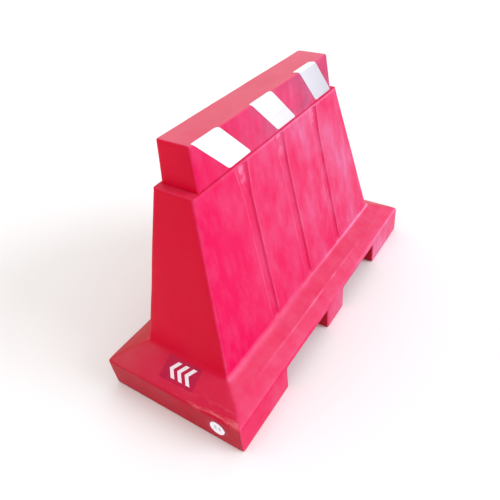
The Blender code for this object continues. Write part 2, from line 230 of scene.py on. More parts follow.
def apply_modifiers(shape):
    """Gives the object the mesh that its modifiers make."""
    depsgraph = bpy.context.evaluated_depsgraph_get()
    mesh = bpy.data.meshes.new_from_object(shape.evaluated_get(depsgraph))
    shape.modifiers.clear()
    shape.data = mesh


def smooth(shape, angle_deg):
    shape.data.shade_smooth()
    shape.data.set_sharp_from_angle(angle=math.radians(angle_deg))


def mix(a, b, t):
    return a + (b - a) * t


def ramp(value, low, high):
    """0 below low, 1 above high and a smooth step between."""
    t = min(1.0, max(0.0, (value - low) / (high - low)))
    return t * t * (3 - 2 * t)


def direction(azimuth_deg, elevation_deg):
    """A unit vector out of the model: azimuth from the front towards +X, and elevation."""
    azimuth, elevation = math.radians(azimuth_deg), math.radians(elevation_deg)
    return Vector((math.sin(azimuth) * math.cos(elevation),
                   -math.cos(azimuth) * math.cos(elevation), math.sin(elevation)))


def skin_rings(rings, closed_path=False):
    """A bmesh over a row of rings of equally many points: capped at both ends, or joined up."""
    bm = bmesh.new()
    rows = [[bm.verts.new(point) for point in ring] for ring in rings]
    pairs = list(zip(rows, rows[1:]))
    if closed_path:
        pairs.append((rows[-1], rows[0]))
    count = len(rows[0])
    for low, high in pairs:
        for i in range(count):
            j = (i + 1) % count
            bm.faces.new((low[i], low[j], high[j], high[i]))
    if not closed_path:
        bm.faces.new(list(reversed(rows[0])))
        bm.faces.new(rows[-1])
    bmesh.ops.recalc_face_normals(bm, faces=bm.faces)
    return bm


def round_corners(profile, steps=5):
    """A profile of (radius, height, rounding) with a short curve for each rounded corner."""
    points = []
    for i, (r, z, rounding) in enumerate(profile):
        if rounding == 0.0:
            points.append((r, z))
            continue
        before = Vector(profile[i - 1][:2])
        after = Vector(profile[(i + 1) % len(profile)][:2])
        corner = Vector((r, z))
        enter = corner + (before - corner).normalized() * rounding
        leave = corner + (after - corner).normalized() * rounding
        for step in range(steps + 1):
            t = step / steps
            point = enter.lerp(corner, t).lerp(corner.lerp(leave, t), t)
            points.append((point.x, point.y))
    return points


def turned(name, profile, matrix):
    """A shape turned round local Z from a profile of radius, height and rounding."""
    points = round_corners(profile)
    ring_shape = points[0][0] > 0.0
    rings = []
    for r, z in points:
        radius = max(r, ON_AXIS)
        ring = []
        for step in range(ROUND_STEPS):
            angle = 2 * math.pi * step / ROUND_STEPS
            ring.append((radius * math.cos(angle), radius * math.sin(angle), z))
        rings.append(ring)
    bm = skin_rings(rings, closed_path=ring_shape)
    bm.transform(matrix)
    return mesh_object(name, bm)


def thread_ridge(name, root, crest, start, turns, matrix):
    """A right-hand helical ridge that fades out at both ends."""
    steps = round(turns * ROUND_STEPS)
    fade = THREAD_FADE * ROUND_STEPS
    sunk = root - math.copysign(THREAD_CLEARANCE, crest - root)
    rings = []
    for step in range(steps + 1):
        height = min(1.0, step / fade, (steps - step) / fade)
        tip = sunk + (crest - sunk) * max(height, 0.15)
        angle = 2 * math.pi * step / ROUND_STEPS
        middle = start + PITCH * step / ROUND_STEPS
        section = ((sunk, -THREAD_ROOT / 2), (tip, -THREAD_CREST / 2), (tip, THREAD_CREST / 2),
                   (sunk, THREAD_ROOT / 2))
        ring = [(r * math.cos(angle), r * math.sin(angle), middle + dz) for r, dz in section]
        rings.append(ring)
    bm = skin_rings(rings)
    bm.transform(matrix)
    return mesh_object(name, bm)


def combine(shape, other, operation):
    """Joins another shape to this one or cuts it out, and removes the other."""
    boolean = shape.modifiers.new("Combine", "BOOLEAN")
    boolean.object = other
    boolean.operation = operation
    boolean.solver = "EXACT"
    apply_modifiers(shape)
    bpy.data.objects.remove(other, do_unlink=True)


# ---- the tank

def level(name, inside):
    """Height, half length and half width of the tank at a named height."""
    z, half_length, half_width = OUTLINE[name]
    if not inside:
        return z, half_length, half_width
    down, inwards = INSIDE[name]
    return z - down, half_length - inwards, half_width - inwards


def tank_levels(inside):
    """The heights of the tank's cage: name or None, then height, half length and half width."""
    names = list(OUTLINE)
    levels = []
    for name, following in zip(names, names[1:]):
        here, there = level(name, inside), level(following, inside)
        levels.append((name, here))
        for cell in range(1, CELLS_UP[name]):
            t = cell / CELLS_UP[name]
            levels.append((None, tuple(mix(a, b, t) for a, b in zip(here, there))))
    levels.append((names[-1], level(names[-1], inside)))
    return levels


def groove_share(z):
    """How deep the grooves are at a height, as a share of their full depth."""
    rising = ramp(z, OUTLINE["foot"][0] + 0.002, OUTLINE["groove_foot"][0])
    return rising * (1.0 - ramp(z, OUTLINE["groove_head"][0], SHOULDER - 0.001))


def tank_columns(inside):
    """The upright lines of the cage from one end to the other: a function from height and half
    length to the place along X, and the line's share of the groove depth."""
    shift = WALL if inside else 0.0
    columns = []
    for side in (-1, 1):
        for share in END_SHARES:
            def outer(z, half, side=side, share=share):
                return side * mix(END_FOOT + shift, half, share)
            columns.append((outer, 0.0))
        for distance in (END_FOOT + shift, MIDDLE_FOOT - shift, *PANEL_LINES):
            columns.append((lambda z, half, x=side * distance: x, 0.0))
    for foot, head in GROOVES:
        for offset, depth in GROOVE_LINES:
            def groove(z, half, foot=foot, head=head, offset=offset):
                up = min(1.0, max(0.0, (z - BODY_FOOT[0]) / (SHOULDER - BODY_FOOT[0])))
                flare = 1.0 + GROOVE_FLARE * ramp(z, SHOULDER - 0.10, SHOULDER)
                return mix(foot, head, up) + offset * GROOVE_HALF_WIDTH * flare
            columns.append((groove, depth))
    half_way_up = on_body((BODY_FOOT[0] + SHOULDER) / 2)
    return sorted(columns, key=lambda column: column[0](*half_way_up[:2]))


def edge_rounding(a, b, names, last_column):
    """The rounding of a cage edge between two lattice places, in metres."""
    (i0, _, k0), (i1, _, k1) = a, b
    low = min(k0, k1)
    if k0 == k1:
        along_x, along_y = LEVEL_ROUNDING.get(names[k0], (0.0, 0.0))
        return along_x if i0 != i1 else along_y
    if i0 not in (0, last_column):
        return SLOT_ROUNDING if low < names.index("slot") else 0.0
    if low < names.index("break"):
        return FOOT_ROUNDING
    if low < names.index("shoulder"):
        return BODY_ROUNDING
    return 0.0 if low < names.index("rail_foot") else RAIL_ROUNDING


def tank_cage(inside):
    """The cage of the tank's outside or inside: a lattice of cells, less those of the two fork
    slots, whose open sides are its faces."""
    levels = tank_levels(inside)
    names = [name for name, _ in levels]
    columns = tank_columns(inside)
    slot_level = names.index("slot")
    places = [column(0.0, HALF_LENGTH) for column, _ in columns]

    def filled(i, j, k):
        if not (0 <= i < len(columns) - 1 and 0 <= j < len(ACROSS) - 1 and 0 <= k < len(levels) - 1):
            return False
        middle = abs(places[i] + places[i + 1]) / 2
        return k >= slot_level or not MIDDLE_FOOT < middle < END_FOOT

    def place(i, j, k):
        z, half_length, half_width = levels[k][1]
        column, depth = columns[i]
        x = column(z, half_length)
        y = ACROSS[j] * half_width
        if abs(ACROSS[j]) == 1.0:
            y -= ACROSS[j] * depth * GROOVE_DEPTH * groove_share(z)
        return x, y, z

    bm = bmesh.new()
    verts = {}
    lattice = {}

    def corner(*key):
        if key not in verts:
            verts[key] = bm.verts.new(place(*key))
            lattice[verts[key]] = key
        return verts[key]

    sides = (
        ((1, 0, 0), ((1, 0, 0), (1, 1, 0), (1, 1, 1), (1, 0, 1))),
        ((-1, 0, 0), ((0, 0, 0), (0, 0, 1), (0, 1, 1), (0, 1, 0))),
        ((0, 1, 0), ((0, 1, 0), (0, 1, 1), (1, 1, 1), (1, 1, 0))),
        ((0, -1, 0), ((0, 0, 0), (1, 0, 0), (1, 0, 1), (0, 0, 1))),
        ((0, 0, 1), ((0, 0, 1), (1, 0, 1), (1, 1, 1), (0, 1, 1))),
        ((0, 0, -1), ((0, 0, 0), (0, 1, 0), (1, 1, 0), (1, 0, 0))),
    )
    for i in range(len(columns) - 1):
        for j in range(len(ACROSS) - 1):
            for k in range(len(levels) - 1):
                if not filled(i, j, k):
                    continue
                for (di, dj, dk), corners in sides:
                    if not filled(i + di, j + dj, k + dk):
                        bm.faces.new([corner(i + a, j + b, k + c) for a, b, c in corners])
    weights = bm.edges.layers.float.new("bevel_weight_edge")
    bm.normal_update()
    for edge in bm.edges:
        if edge.calc_face_angle(0.0) > ROUNDED_FROM:
            first, second = (lattice[vert] for vert in edge.verts)
            rounding = edge_rounding(first, second, names, len(columns) - 1)
            edge[weights] = rounding / WIDEST_ROUNDING
    return bm


def wavy(point, normal):
    """How far a moulded wall stands off its drawn place: slow waves and a finer unevenness, and
    front and back panels that sink in a little between the grooves."""
    x, y, z = point
    slow = noise.noise(Vector((x * 7.0, y * 9.0 + 3.1, z * 7.0))) * SLOW_WAVE
    fine = noise.noise(Vector((x * 26.0 + 5.0, y * 26.0, z * 26.0))) * FINE_WAVE
    rail = ramp(z, SHOULDER - 0.01, SHOULDER + 0.004)
    base = 1.0 - ramp(z, 0.100, 0.140)
    bow = 0.0
    if abs(normal.y) > 0.8 and not rail:
        up = ramp(z, 0.15, 0.35) * (1.0 - ramp(z, 0.42, 0.60))
        bow = PANEL_BOW * up * math.sin(math.pi * x / PANEL_PITCH) ** 2
    return slow * (1.0 - 0.75 * rail) * (1.0 - 0.55 * base) + fine - bow


def round_edges(shape, widest):
    """Rounds the edges by their weights, up to the widest rounding."""
    bevel = shape.modifiers.new("Round", "BEVEL")
    bevel.limit_method = "WEIGHT"
    bevel.width = widest
    bevel.segments = 2
    bevel.use_clamp_overlap = False


def make_tank():
    """The hollow tank: a rounded cage with wavy walls, less a cage of its inside."""
    outside = mesh_object("tank", tank_cage(inside=False))
    round_edges(outside, WIDEST_ROUNDING)
    refine = outside.modifiers.new("Refine", "SUBSURF")
    refine.levels = 2
    apply_modifiers(outside)

    vertices = outside.data.vertices
    normals = [vertex.normal.copy() for vertex in vertices]
    for vertex, normal in zip(vertices, normals):
        point = vertex.co
        if point.z > FLAT_FEET:
            point += normal * wavy(point, normal)
        for axis in range(3):
            point[axis] = min(TANK_HIGH[axis], max(TANK_LOW[axis], point[axis]))

    inside = mesh_object("tank_inside", tank_cage(inside=True))
    round_edges(inside, WIDEST_ROUNDING / 2)
    apply_modifiers(inside)
    combine(outside, inside, "DIFFERENCE")
    return outside


def closure_matrix(joint_name):
    """From a closure's own frame, +Z out of the tank and origin on the seat, to the model's."""
    joint = next(joint for joint in frame["joints"] if joint["name"] == joint_name)
    outward = Vector(joint["axis"])
    across = Vector((0.0, 1.0, 0.0))
    turn = Matrix((across.cross(outward), across, outward)).transposed().to_4x4()
    return Matrix.Translation(Vector(joint["pos_m"])) @ turn


def closure_radii(sizes):
    """The radii of a closure's thread and of what holds its insert in the tank."""
    plug_root = sizes["crest"] - THREAD_DEPTH
    insert_root = sizes["crest"] + THREAD_CLEARANCE
    outside = insert_root + INSERT_WALL
    collar = outside + INSERT_COLLAR[2]
    return {"plug_root": plug_root, "insert_crest": plug_root + THREAD_CLEARANCE,
            "insert_root": insert_root, "outside": outside, "collar": collar,
            "boss": collar + BOSS_WALL}


def cut_port(tank, name, sizes, matrix):
    """The boss inside the tank and, cut in it, the pocket and the stepped bore."""
    radii = closure_radii(sizes)
    top, boss = sizes["boss_top"], radii["boss"]
    boss_profile = ((0.0, top, 0.0), (boss, top, 0.0), (boss, -BOSS_LENGTH, 0.003),
                    (0.0, -BOSS_LENGTH, 0.0))
    combine(tank, turned(f"{name}_boss", boss_profile, matrix), "UNION")
    pocket = sizes["flange"] + POCKET_CLEARANCE
    outside, collar = radii["outside"] + GAP, radii["collar"] + GAP
    collar_top = -INSERT_COLLAR[0] + GAP
    collar_bottom = -INSERT_COLLAR[0] - INSERT_COLLAR[1] - GAP
    bore_profile = (
        (0.0, POCKET_REACH, 0.0),
        (pocket + 0.0005, POCKET_REACH, 0.0),
        (pocket, 0.0, 0.0010),
        (outside, 0.0, 0.0),
        (outside, collar_top, 0.0),
        (collar, collar_top, 0.0),
        (collar, collar_bottom, 0.0),
        (outside, collar_bottom, 0.0),
        (outside, -INSERT_LENGTH - GAP, 0.0),
        (radii["insert_root"], -INSERT_LENGTH - GAP, 0.0),
        (radii["insert_root"], -BOSS_LENGTH - BORE_OVERRUN, 0.0),
        (0.0, -BOSS_LENGTH - BORE_OVERRUN, 0.0),
    )
    combine(tank, turned(f"{name}_bore", bore_profile, matrix), "DIFFERENCE")


# ---- closures

def make_insert(name, sizes, matrix):
    """A threaded ring with a collar that the tank's boss holds."""
    radii = closure_radii(sizes)
    inner, outside, collar = radii["insert_root"], radii["outside"], radii["collar"]
    depth, length, _ = INSERT_COLLAR
    profile = (
        (inner, -GAP, 0.0006),
        (outside, -GAP, 0.0),
        (outside, -depth, 0.0),
        (collar, -depth, 0.0006),
        (collar, -depth - length, 0.0006),
        (outside, -depth - length, 0.0),
        (outside, -INSERT_LENGTH, 0.0006),
        (inner, -INSERT_LENGTH, 0.0006),
    )
    insert = turned(f"{name}_threaded_insert", profile, matrix)
    start = PLUG_THREAD_START - PITCH / 2
    ridge = thread_ridge("ridge", inner, radii["insert_crest"], start, INSERT_TURNS, matrix)
    combine(insert, ridge, "UNION")
    return insert


def make_gasket(name, sizes, matrix):
    """A flat ring with round edges, under the plug's flange."""
    inner = sizes["crest"] + 2 * THREAD_CLEARANCE
    outer = sizes["flange"] - 0.001
    top = GAP + GASKET_THICKNESS
    bead = GASKET_THICKNESS * 0.45
    profile = ((inner, top, bead), (outer, top, bead), (outer, GAP, bead), (inner, GAP, bead))
    return turned(f"{name}_gasket_ring", profile, matrix)


def make_plug(name, sizes, matrix):
    """A flanged plug: rounded rim, a shallow step in the face, and a cup with a grip bar."""
    root = closure_radii(sizes)["plug_root"]
    face = UNDER_FLANGE + sizes["face"]
    flange, cup = sizes["flange"], sizes["cup"]
    cup_floor = face - sizes["depth"]
    rim = cup + CUP_RIM
    profile = (
        (0.0, cup_floor, 0.0),
        (cup - 0.0006, cup_floor, 0.0012),
        (cup, face - RIM_DEPTH, 0.0005),
        (rim, face - RIM_DEPTH, 0.0003),
        (rim + 0.0004, face, 0.0003),
        (flange, face, 0.0014),
        (flange, UNDER_FLANGE, 0.0005),
        (root, UNDER_FLANGE, 0.0006),
        (root, SHANK_TIP, SHANK_ROUNDING),
        (0.0, SHANK_TIP, 0.0),
    )
    plug = turned(f"{name}_screw_plug", profile, matrix)
    ridge = thread_ridge("ridge", root, sizes["crest"], PLUG_THREAD_START, PLUG_TURNS, matrix)
    combine(plug, ridge, "UNION")
    bar = bmesh.new()
    bmesh.ops.create_cube(bar, size=1.0)
    top = face - GRIP_SUNK
    bottom = cup_floor - GRIP_SUNK
    bmesh.ops.scale(bar, vec=(2 * cup + 0.0016, sizes["grip"], top - bottom), verts=bar.verts)
    bmesh.ops.translate(bar, vec=(0.0, 0.0, (top + bottom) / 2), verts=bar.verts)
    top_edges = [edge for edge in bar.edges if edge.verts[0].co.z > 0.0
                 and abs(edge.verts[0].co.x - edge.verts[1].co.x) > cup]
    bmesh.ops.bevel(bar, geom=top_edges, offset=GRIP_ROUNDING, segments=4, profile=0.5,
                    affect="EDGES")
    bar.transform(matrix)
    combine(plug, mesh_object("grip", bar), "UNION")
    return plug


# ---- sheets and label

def rounded_outline(u, v, corner_u, corner_v):
    """Pulls a place in the unit square in from the square's corners, along circles."""
    du = max(0.0, abs(u - 0.5) - (0.5 - corner_u)) / corner_u
    dv = max(0.0, abs(v - 0.5) - (0.5 - corner_v)) / corner_v
    if du > 0.0 and dv > 0.0:
        reach = max(du, dv) / math.hypot(du, dv)
        u = 0.5 + math.copysign(0.5 - corner_u + du * reach * corner_u, u - 0.5)
        v = 0.5 + math.copysign(0.5 - corner_v + dv * reach * corner_v, v - 0.5)
    return u, v


def stuck_on(name, surface, place, lift, columns, rows, corners, thickness):
    """A thin sheet over place(u, v), which gives a point near the surface and a direction towards
    it. The sheet lies lift(u, v) off the surface, and its corners are round."""
    bm = bmesh.new()
    lines = []
    for row in range(rows + 1):
        line = []
        for column in range(columns + 1):
            u, v = rounded_outline(column / columns, row / rows, *corners)
            point, inward = place(u, v)
            start = point - inward * FOUND_WITHIN[0]
            found, normal, _, _ = surface.ray_cast(start, inward, sum(FOUND_WITHIN))
            if found is None:
                found, normal = point, -inward
            line.append(bm.verts.new(found + normal * lift(u, v)))
        lines.append(line)
    for low, high in zip(lines, lines[1:]):
        for i in range(columns):
            bm.faces.new((low[i], low[i + 1], high[i + 1], high[i]))
    shape = mesh_object(name, bm)
    solidify = shape.modifiers.new("Thickness", "SOLIDIFY")
    solidify.thickness = thickness
    solidify.offset = 1.0
    apply_modifiers(shape)
    smooth(shape, 50)
    return shape


def rail_place(side, middle, lean, lap):
    """Where a reflective sheet's places lie: from the rail's foot up to its top edge and, with a
    lap, over it."""
    foot = OUTLINE["rail_foot"]
    top = OUTLINE["top"]
    low = foot[0] + SHEET_START
    edge = LEVEL_ROUNDING["top"][0]
    face = top[0] - edge - low
    arc = edge * math.pi / 2 if lap else 0.0
    total = face + arc + lap

    def place(u, v):
        along = v * total
        x = middle + lean * (0.5 - along / (face + arc)) + (u - 0.5) * SHEET_WIDTH
        if along <= face:
            z = low + along
            out = mix(foot[2], top[2], (z - foot[0]) / (top[0] - foot[0]))
            normal = Vector((0.0, -1.0, RAIL_LEAN))
        elif along < face + arc:
            turn = (along - face) / edge
            out = top[2] - edge + edge * math.cos(turn)
            z = top[0] - edge + edge * math.sin(turn)
            normal = Vector((0.0, -math.cos(turn), math.sin(turn)))
        else:
            out = top[2] - edge - (along - face - arc)
            z = top[0]
            normal = Vector((0.0, 0.0, 1.0))
        point = Vector((side * x, -side * out, z))
        inward = Vector((0.0, -side * normal.y, -normal.z)).normalized()
        return point, inward

    return place


def make_sheets(surface):
    """The reflective sheets on both faces of the rail, each with the CAD node it stands for."""
    sheets = []
    for face, side in (("front", 1), ("rear", -1)):
        for number, (middle, lean, front_lap) in enumerate(SHEETS, start=1):
            place = rail_place(side, middle, lean, front_lap if face == "front" else 0.0)

            def lift(u, v, number=number):
                near_edge = min(u, 1 - u, v, 1 - v)
                bubble = noise.noise(Vector((u * 5 + number * 7.3, v * 6, 0.3)))
                return SHEET_LIFT + BUBBLE_HEIGHT * max(0.0, bubble) * ramp(near_edge, 0.0, 0.15)

            sheet = stuck_on(f"{face}_sheet_{number}", surface, place, lift, columns=30, rows=40,
                             corners=SHEET_CORNERS, thickness=SHEET_THICKNESS)
            sheets.append((sheet, f"{face}_reflector_{number}"))
    return sheets


def make_label(surface):
    """The label on the sloping -X end of the base."""
    crease, foot = OUTLINE["crease"], OUTLINE["foot"]

    def place(u, v):
        reach = mix(LABEL_REACH[1], LABEL_REACH[0], v)
        z = mix(crease[0], foot[0], (crease[1] - reach) / (crease[1] - foot[1]))
        y = LABEL_MIDDLE + (0.5 - u) * LABEL_WIDTH
        return Vector((-reach, y, z)), INTO_END_SLOPE

    return stuck_on("end_sticker", surface, place, lambda u, v: SHEET_LIFT, columns=40, rows=24,
                    corners=LABEL_CORNERS, thickness=LABEL_THICKNESS)


# ---- materials

# Linear colours of the red plastic, of what lies on it, and of the light and shade painted on it
LIGHT_RED = (0.66, 0.0020, 0.030)
DEEP_RED = (0.59, 0.0014, 0.024)
SPECK = (0.78, 0.020, 0.085)
LIT_SIDE_PINK = (0.605, 0.0036, 0.076)
BLOOM_AND_SHEEN = (0.50, 0.36, 0.61)
SLOPE_SHEEN = (0.96, 0.42, 0.60)
RAIL_DUST_AND_SHEEN = (0.76, 0.39, 0.46)
BROWN_DUST = (0.34, 0.27, 0.20)
RAIL_SHADE = (0.33, 0.055, 0.115)
GROUND_SHADE = (0.20, 0.010, 0.020)
SCUFF = (0.88, 0.24, 0.34)
STREAK_HIGHLIGHT = (0.88, 0.30, 0.30)
EDGE_HIGHLIGHT = (0.95, 0.36, 0.52)
CORNER_SHADE = (0.26, 0.003, 0.035)
GROOVE_SHADE = (0.40, 0.006, 0.046)
GROOVE_HIGHLIGHT = (0.92, 0.42, 0.62)
CHALK_AND_HIGHLIGHT = (0.90, 0.38, 0.62)


class Graph:
    """The nodes of a material, with short ways to add and link them. Places are in
    the object's own coordinates."""

    def __init__(self, name):
        self.material = bpy.data.materials.new(name)
        self.material.use_nodes = True
        self.tree = self.material.node_tree
        self.shader = self.tree.nodes["Principled BSDF"]
        self.place = self.node("ShaderNodeTexCoord").outputs["Object"]

    def node(self, kind, **inputs):
        made = self.tree.nodes.new(kind)
        for key, value in inputs.items():
            self.put(made.inputs[key], value)
        return made

    def put(self, socket, value):
        """Links a socket to another's output, or sets it to a plain value."""
        if isinstance(value, bpy.types.NodeSocket):
            self.tree.links.new(value, socket)
        else:
            socket.default_value = value

    def split(self, vector):
        """A vector's three parts."""
        parts = self.node("ShaderNodeSeparateXYZ", Vector=vector)
        return tuple(parts.outputs[axis] for axis in "XYZ")

    def noise(self, scale, detail=3.0, roughness=0.5, stretch=(1.0, 1.0, 1.0), offset=0.0):
        """Noise from 0 to 1. Its places are stretched, and offset to set it apart from others."""
        mapping = self.node("ShaderNodeMapping", Vector=self.place, Scale=stretch,
                            Location=(offset, offset * 0.7, offset * 1.3))
        made = self.node("ShaderNodeTexNoise", Vector=mapping.outputs["Vector"], Scale=scale,
                         Detail=detail, Roughness=roughness)
        return made.outputs["Fac"]

    def span(self, value, low, high, to_low=0.0, to_high=1.0):
        """The value taken from one range to another, and kept inside it."""
        made = self.node("ShaderNodeMapRange", Value=value)
        made.clamp = True
        made.inputs["From Min"].default_value = low
        made.inputs["From Max"].default_value = high
        made.inputs["To Min"].default_value = to_low
        made.inputs["To Max"].default_value = to_high
        return made.outputs["Result"]

    def math(self, operation, a, b=0.0):
        made = self.tree.nodes.new("ShaderNodeMath")
        made.operation = operation
        self.put(made.inputs[0], a)
        self.put(made.inputs[1], b)
        return made.outputs["Value"]

    def times(self, first, *others):
        for other in others:
            first = self.math("MULTIPLY", first, other)
        return first

    def most(self, first, *others):
        """The largest of several values."""
        for other in others:
            first = self.math("MAXIMUM", first, other)
        return first

    def away(self, value, place):
        """How far a value is from a place."""
        return self.math("ABSOLUTE", self.math("SUBTRACT", value, place))

    def near(self, value, place, full, gone, strength):
        """The strength where a value is at a place, fading to nothing at a distance."""
        return self.times(self.span(self.away(value, place), gone, full), strength)

    def plus_x_ramp(self, along):
        """0 at the -X end of the barrier and 1 at the +X end. Wear, painted shade and painted sheen grow
        along it.
        """
        return self.span(along, -0.32, 0.42)

    def blend(self, factor, a, b):
        made = self.tree.nodes.new("ShaderNodeMix")
        made.data_type = "RGBA"
        self.put(made.inputs["Factor"], factor)
        for index, colour in ((6, a), (7, b)):  # the mix node's two colour sockets
            value = colour if isinstance(colour, bpy.types.NodeSocket) else (*colour, 1.0)
            self.put(made.inputs[index], value)
        return made.outputs[2]

    def bump(self, height, strength, distance, below=None):
        made = self.node("ShaderNodeBump", Height=height, Strength=strength, Distance=distance)
        if below is not None:
            self.put(made.inputs["Normal"], below)
        return made.outputs["Normal"]

    def finish(self, colour, roughness, normal):
        self.put(self.shader.inputs["Base Color"], colour)
        self.put(self.shader.inputs["Roughness"], roughness)
        self.put(self.shader.inputs["Normal"], normal)
        return self.material


class RedPlastic(Graph):
    """Moulded red polyethylene. Each method lays one kind of mark over the colour so far."""

    def __init__(self):
        super().__init__("red_moulded_polyethylene")
        geometry = self.node("ShaderNodeNewGeometry")
        self.pointiness = geometry.outputs["Pointiness"]
        _, self.backward, self.up = self.split(geometry.outputs["Normal"])
        self.along, self.across, self.height = self.split(self.place)
        # How far a face turns towards the key light, which the painted light and shade below follow.
        facing_key = self.math("ADD", self.times(self.backward, -0.90), self.times(self.up, 0.34))
        self.facing_key = self.span(facing_key, 0.10, 0.85)
        self.sloping = self.span(self.up, 0.60, 0.86)
        # A ramp along X that wear, painted shade and painted sheen follow towards +X.
        self.to_plus_x = self.plus_x_ramp(self.along)
        self.patchy = self.span(self.noise(24.0, 4.0, 0.6, offset=25.0), 0.38, 0.60, 0.25, 1.0)
        self.colour = None

    def by_height(self, *limits):
        return self.span(self.height, *limits)

    def lay(self, share, colour):
        self.colour = self.blend(share, self.colour, colour)

    def lay_pigment_and_sheen(self):
        """Uneven pigment with pale specks, and a pink painted sheen on the faces towards the key light,
        the front and the top.
        """
        mottle = self.span(self.noise(4.5, 5.0, 0.55), 0.34, 0.68)
        self.colour = self.blend(mottle, LIGHT_RED, DEEP_RED)
        self.lay(self.span(self.noise(420.0, 2.0), 0.48, 0.74, 0.0, 0.10), SPECK)
        # Painted sheen: pink on the faces turned towards the key light.
        self.lay(self.times(self.facing_key, 0.95), LIT_SIDE_PINK)

    def lay_bloom_and_sheen(self):
        """A chalky bloom and painted sheen on the sides facing the key light, in clouds, streaks and
        flecks.
        It grows upwards and towards +X, thins out beside the body's far edge, and lies as painted sheen
        in patches on the slopes."""
        cloud = self.noise(11.0, 4.0, 0.55, stretch=(1.2, 1.0, 0.62), offset=11.0)
        cloud = self.span(cloud, 0.36, 0.70, 0.35, 1.8)
        streak = self.noise(26.0, 3.0, 0.50, stretch=(1.4, 1.0, 0.35), offset=17.0)
        streak = self.span(streak, 0.42, 0.74, 0.85, 1.5)
        strength = self.math("SUBTRACT", 0.22, self.times(self.sloping, 0.17))
        rising = self.by_height(BODY_FOOT[0], SHOULDER, 0.90, 1.18)
        far_edge = self.by_height(BODY_FOOT[0], SHOULDER, BODY_FOOT[1], BODY_TOP[1])
        beside_edge = self.span(self.math("SUBTRACT", far_edge, self.along), 0.130, 0.015)
        thinned = self.times(beside_edge, self.by_height(0.25, 0.50, 0.30, 0.68))
        bloom = self.times(cloud, streak, self.to_plus_x, strength, rising)
        bloom = self.times(bloom, self.math("SUBTRACT", 1.0, thinned))
        fleck = self.noise(15.0, 5.0, 0.60, stretch=(1.8, 1.0, 0.75), offset=31.0)
        fleck = self.span(fleck, 0.44, 0.66, 0.001, 0.052)
        # Chalky bloom with painted sheen on the faces towards the key light.
        self.lay(self.times(self.math("ADD", bloom, fleck), self.facing_key), BLOOM_AND_SHEEN)
        patches = self.noise(19.0, 5.0, 0.62, stretch=(0.8, 1.0, 1.0), offset=41.0)
        patches = self.span(patches, 0.34, 0.66, 0.085, 0.165)
        # Painted sheen in patches on the slopes that face the key light.
        self.lay(self.times(patches, self.sloping, self.facing_key), SLOPE_SHEEN)

    def lay_dust_and_sheen(self):
        """Dust and a painted reflection of the sky on the rail's top, thicker towards +X, and dust on
        the slopes at the back of the base. Returns the rail's share."""
        on_top = self.by_height(SHOULDER + 0.02, HEIGHT - 0.01)
        uneven = self.span(self.noise(11.0, 6.0, 0.62, offset=4.0), 0.30, 0.70, 0.80, 1.10)
        thicker = self.span(self.math("POWER", self.to_plus_x, 2.0), 0.0, 1.0, 0.93, 1.26)
        # Dust and a painted reflection of the sky on the rail's top, thicker towards +X.
        dust_and_sheen = self.times(self.span(self.up, 0.93, 0.99), on_top, uneven, thicker)
        self.lay(self.times(dust_and_sheen, 0.285), RAIL_DUST_AND_SHEEN)
        on_base = self.by_height(BODY_FOOT[0] + 0.004, BODY_FOOT[0])
        uneven = self.span(self.noise(13.0, 5.0, 0.6, offset=39.0), 0.3, 0.7, 0.6, 1.3)
        sheltered = self.times(self.span(self.across, 0.04, 0.17), self.span(self.up, 0.30, 0.55))
        self.lay(self.times(sheltered, on_base, uneven, 0.13), BROWN_DUST)
        return dust_and_sheen

    def lay_painted_shade(self):
        """Painted shade in blotches on the rail's face, and painted shade on the walls and slopes near
        the ground.
        """
        on_rail = self.by_height(SHOULDER, SHOULDER + 0.01)
        # Painted shade in blotches on the rail's face, deeper towards +X.
        rail_shade = self.span(self.noise(15.0, 4.0, 0.60, offset=21.0), 0.36, 0.62, 0.15, 1.0)
        rail_shade = self.times(rail_shade, on_rail, self.span(self.up, 0.6, 0.3), self.to_plus_x)
        self.lay(rail_shade, RAIL_SHADE)
        crease = OUTLINE["crease"][0]
        slopes = self.by_height(crease + 0.055, crease, 0.0, 0.45)
        walls = self.by_height(crease + 0.003, crease - 0.010, 0.0, 0.55)
        uneven = self.span(self.noise(12.0, 5.0, 0.62, offset=9.0), 0.30, 0.70, 0.65, 1.0)
        # Painted shade on the walls and slopes near the ground, most on the sides away from the key
        # light.
        away_from_key = self.span(self.facing_key, 0.0, 0.8, 0.50, 0.06)
        self.lay(self.times(self.math("ADD", slopes, walls), uneven, away_from_key), GROUND_SHADE)

    def lay_scuffs_and_highlights(self):
        """Faint scuffs all over, and painted highlights in streaks across the ends of the base.
        Returns the scuffs' share."""
        scrape = self.noise(36.0, 5.0, 0.62, stretch=(0.35, 2.4, 1.6), offset=3.0)
        handled = self.span(self.noise(4.6, 3.0, offset=8.0), 0.52, 0.68)
        scuffed = self.times(self.span(scrape, 0.64, 0.74), handled)
        self.lay(self.times(scuffed, 0.10), SCUFF)
        # Painted highlights in streaks across the ends of the base, near the crease.
        highlight_streaks = self.noise(24.0, 5.0, 0.70, stretch=(4.0, 0.50, 1.0), offset=6.0)
        low = self.times(self.by_height(0.116, 0.100), self.by_height(0.086, 0.098))
        outer = self.span(self.math("ABSOLUTE", self.along), 0.450, 0.470)
        endways = self.span(self.math("ABSOLUTE", self.backward), 0.30, 0.15)
        forward = self.span(self.across, 0.06, -0.10)
        highlight_streaks = self.times(self.span(highlight_streaks, 0.50, 0.62), low, outer, endways, forward)
        self.lay(self.times(highlight_streaks, 0.34), STREAK_HIGHLIGHT)
        return scuffed

    def lay_edge_light_and_shade(self):
        """Painted highlights on the edges, most on the sides facing the key light, and painted shade in
        the corners.
        """
